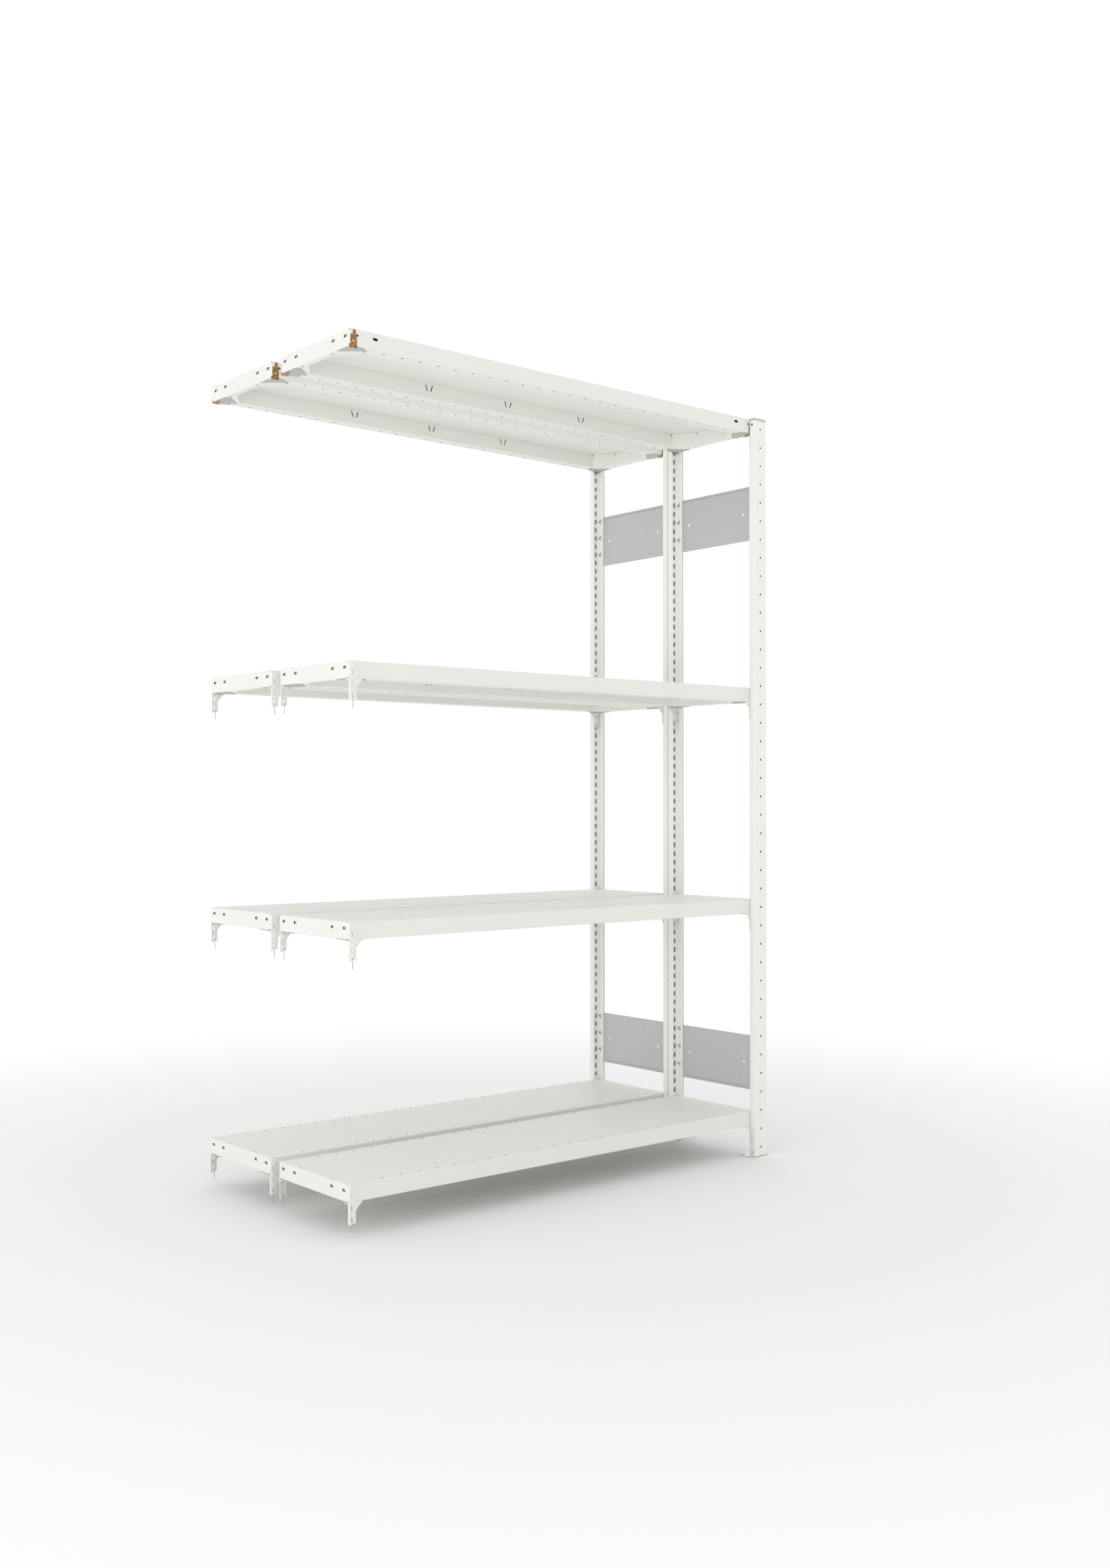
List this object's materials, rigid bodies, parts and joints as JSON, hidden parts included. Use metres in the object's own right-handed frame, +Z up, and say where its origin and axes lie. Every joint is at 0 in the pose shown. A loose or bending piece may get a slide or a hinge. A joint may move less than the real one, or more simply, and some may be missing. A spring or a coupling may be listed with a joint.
{
  "type": "gondola shelving unit",
  "caption": "Double-sided add-on bay of boltless steel shelving: slotted T-section posts, grey bracing panels and folded white shelves on hook-in brackets.",
  "frame": {"origin": "on the floor, at the middle of the unit's length and between the two racks", "axes": "+Z up, +X from the free ends of the shelves to the end frames, +Y from the front rack to the back rack"},
  "size_m": [1.3388, 0.6784, 2.005],
  "materials": {
    "white_powder_coat": "satin white powder coat with a fine orange peel",
    "galvanised_sheet": "grey galvanised sheet",
    "yellow_zinc": "yellow passivated zinc on steel",
    "bright_zinc": "bright zinc plate",
    "grey_plastic": "moulded light grey plastic"
  },
  "bodies": {
    "end_frames": {"front_aisle_post": "white_powder_coat", "front_aisle_post_cap": "grey_plastic", "front_aisle_foot_plate": "bright_zinc", "front_inner_post": "white_powder_coat", "front_inner_post_cap": "grey_plastic", "front_inner_foot_plate": "bright_zinc", "front_lower_panel": "galvanised_sheet", "front_upper_panel": "galvanised_sheet", "back_aisle_post": "white_powder_coat", "back_aisle_post_cap": "grey_plastic", "back_aisle_foot_plate": "bright_zinc", "back_inner_post": "white_powder_coat", "back_inner_post_cap": "grey_plastic", "back_inner_foot_plate": "bright_zinc", "back_lower_panel": "galvanised_sheet", "back_upper_panel": "galvanised_sheet"},
    "front_top_level": {"front_top_shelf": "white_powder_coat", "front_top_clip_free_aisle": "yellow_zinc", "front_top_clip_free_inner": "yellow_zinc", "front_top_clip_frame_aisle": "yellow_zinc", "front_top_clip_frame_inner": "yellow_zinc"},
    "front_upper_level": {"front_upper_shelf": "white_powder_coat", "front_upper_bracket_free_aisle": "white_powder_coat", "front_upper_bracket_free_inner": "white_powder_coat", "front_upper_bracket_frame_aisle": "white_powder_coat", "front_upper_bracket_frame_inner": "white_powder_coat"},
    "front_middle_level": {"front_middle_shelf": "white_powder_coat", "front_middle_bracket_free_aisle": "white_powder_coat", "front_middle_bracket_free_inner": "white_powder_coat", "front_middle_bracket_frame_aisle": "white_powder_coat", "front_middle_bracket_frame_inner": "white_powder_coat"},
    "front_bottom_level": {"front_bottom_shelf": "white_powder_coat", "front_bottom_bracket_free_aisle": "white_powder_coat", "front_bottom_bracket_free_inner": "white_powder_coat", "front_bottom_bracket_frame_aisle": "white_powder_coat", "front_bottom_bracket_frame_inner": "white_powder_coat"},
    "back_top_level": {"back_top_shelf": "white_powder_coat", "back_top_clip_free_aisle": "yellow_zinc", "back_top_clip_free_inner": "yellow_zinc", "back_top_clip_frame_aisle": "yellow_zinc", "back_top_clip_frame_inner": "yellow_zinc"},
    "back_upper_level": {"back_upper_shelf": "white_powder_coat", "back_upper_bracket_free_aisle": "white_powder_coat", "back_upper_bracket_free_inner": "white_powder_coat", "back_upper_bracket_frame_aisle": "white_powder_coat", "back_upper_bracket_frame_inner": "white_powder_coat"},
    "back_middle_level": {"back_middle_shelf": "white_powder_coat", "back_middle_bracket_free_aisle": "white_powder_coat", "back_middle_bracket_free_inner": "white_powder_coat", "back_middle_bracket_frame_aisle": "white_powder_coat", "back_middle_bracket_frame_inner": "white_powder_coat"},
    "back_bottom_level": {"back_bottom_shelf": "white_powder_coat", "back_bottom_bracket_free_aisle": "white_powder_coat", "back_bottom_bracket_free_inner": "white_powder_coat", "back_bottom_bracket_frame_aisle": "white_powder_coat", "back_bottom_bracket_frame_inner": "white_powder_coat"}
  },
  "joints": [
    {"name": "front_top_lift", "type": "slide", "parent": "end_frames", "child": "front_top_level", "axis": [0, 0, 1], "range_m": [0, 0.0045]},
    {"name": "front_upper_lift", "type": "slide", "parent": "end_frames", "child": "front_upper_level", "axis": [0, 0, 1], "range_m": [0, 0.0045]},
    {"name": "front_middle_lift", "type": "slide", "parent": "end_frames", "child": "front_middle_level", "axis": [0, 0, 1], "range_m": [0, 0.0045]},
    {"name": "front_bottom_lift", "type": "slide", "parent": "end_frames", "child": "front_bottom_level", "axis": [0, 0, 1], "range_m": [0, 0.0045]},
    {"name": "back_top_lift", "type": "slide", "parent": "end_frames", "child": "back_top_level", "axis": [0, 0, 1], "range_m": [0, 0.0045]},
    {"name": "back_upper_lift", "type": "slide", "parent": "end_frames", "child": "back_upper_level", "axis": [0, 0, 1], "range_m": [0, 0.0045]},
    {"name": "back_middle_lift", "type": "slide", "parent": "end_frames", "child": "back_middle_level", "axis": [0, 0, 1], "range_m": [0, 0.0045]},
    {"name": "back_bottom_lift", "type": "slide", "parent": "end_frames", "child": "back_bottom_level", "axis": [0, 0, 1], "range_m": [0, 0.0045]}
  ]
}
